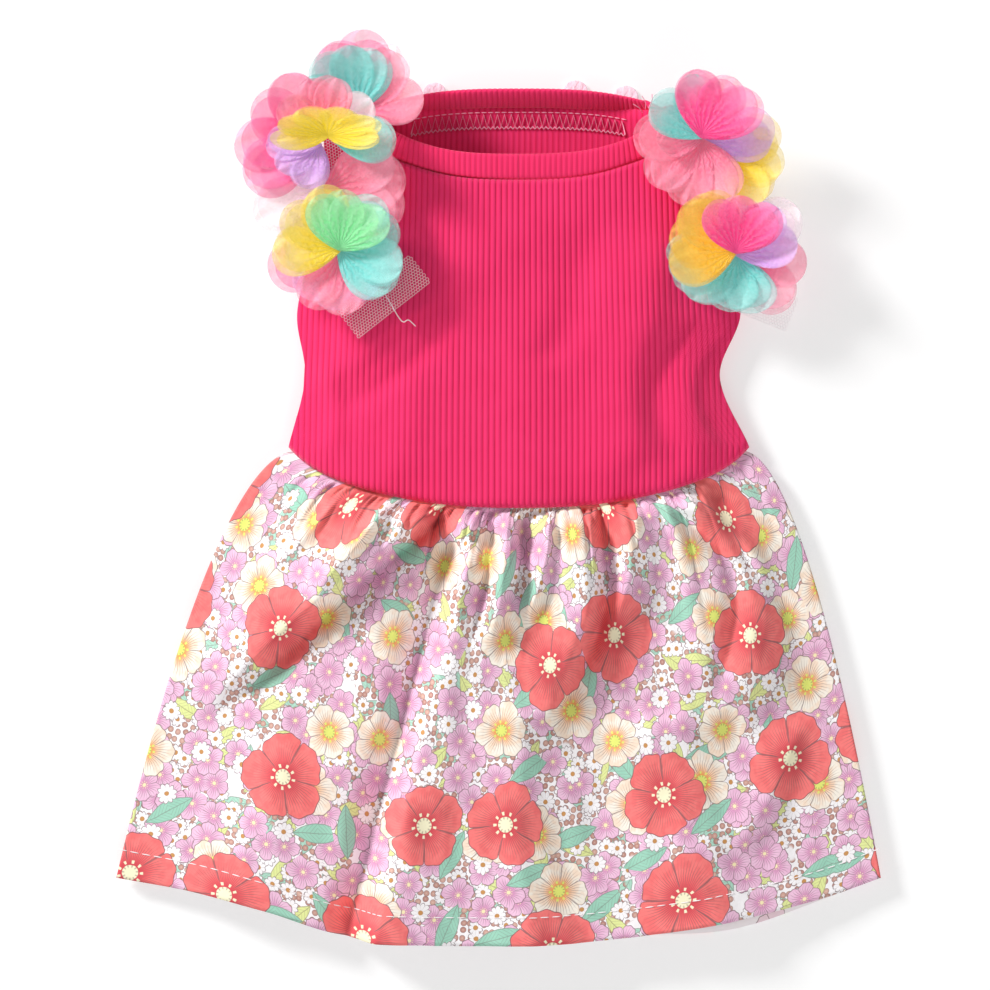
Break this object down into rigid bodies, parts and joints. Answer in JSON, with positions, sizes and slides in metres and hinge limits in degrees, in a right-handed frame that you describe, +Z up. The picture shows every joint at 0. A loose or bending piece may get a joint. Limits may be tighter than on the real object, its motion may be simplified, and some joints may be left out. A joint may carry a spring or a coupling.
{
  "type": "dog dress",
  "caption": "Small dog's sleeveless dress laid flat on its back: rib-knit bodice with a folded neckband, petal flowers along both armholes and a gathered printed skirt.",
  "frame": {"origin": "the flat underside of the bodice back, at the middle of the chest, on the surface that the dress lies on", "axes": "+Z up from the surface, +Y along the dress towards the neck, +X to the right as seen from above"},
  "size_m": [0.2761, 0.3287, 0.0341],
  "materials": {
    "rib_knit": "matt rib knit, rose pink",
    "rib_band": "matt folded rib knit, rose pink",
    "printed_cotton": "plain-weave cotton with an all-over flower print",
    "net": "fine white net",
    "organza_hot_pink": "sheer woven organza with a soft sheen",
    "organza_salmon": "sheer woven organza with a soft sheen",
    "organza_pale": "sheer woven organza with a soft sheen",
    "organza_aqua": "sheer woven organza with a soft sheen",
    "organza_mint": "sheer woven organza with a soft sheen",
    "organza_yellow": "sheer woven organza with a soft sheen",
    "organza_amber": "sheer woven organza with a soft sheen",
    "organza_lilac": "sheer woven organza with a soft sheen"
  },
  "bodies": {
    "root": {"bodice_front": "rib_knit", "bodice_back": "rib_knit", "neckband": "rib_band", "skirt_front": "printed_cotton", "skirt_back": "printed_cotton", "left_upper_net": "net", "left_lower_net": "net", "right_upper_net": "net", "right_lower_net": "net", "left_middle_pale": "organza_pale", "left_middle_salmon": "organza_salmon", "left_top_pale": "organza_pale", "left_top_hot_pink": "organza_hot_pink", "left_top_salmon": "organza_salmon", "left_top_aqua": "organza_aqua", "left_upper_hot_pink": "organza_hot_pink", "left_upper_lilac": "organza_lilac", "left_upper_pale": "organza_pale", "left_upper_grey_aqua": "organza_aqua", "left_upper_salmon": "organza_salmon", "left_upper_yellow": "organza_yellow", "left_lower_hot_pink": "organza_hot_pink", "left_lower_lilac": "organza_lilac", "left_lower_pink": "organza_salmon", "left_lower_aqua": "organza_aqua", "left_lower_yellow": "organza_yellow", "left_lower_mint": "organza_mint", "right_upper_yellow": "organza_yellow", "right_upper_lilac": "organza_lilac", "right_upper_salmon": "organza_salmon", "right_upper_light_pink": "organza_salmon", "right_upper_pale_aqua": "organza_aqua", "right_upper_hot_pink": "organza_hot_pink", "right_lower_pale": "organza_pale", "right_lower_sheer_pink": "organza_salmon", "right_lower_aqua": "organza_aqua", "right_lower_lilac": "organza_lilac", "right_lower_amber": "organza_amber", "right_lower_hot_pink": "organza_hot_pink", "back_neck_petal_left": "organza_pale", "back_neck_petal_middle": "organza_pale", "back_neck_petal_right": "organza_pale"}
  },
  "joints": []
}
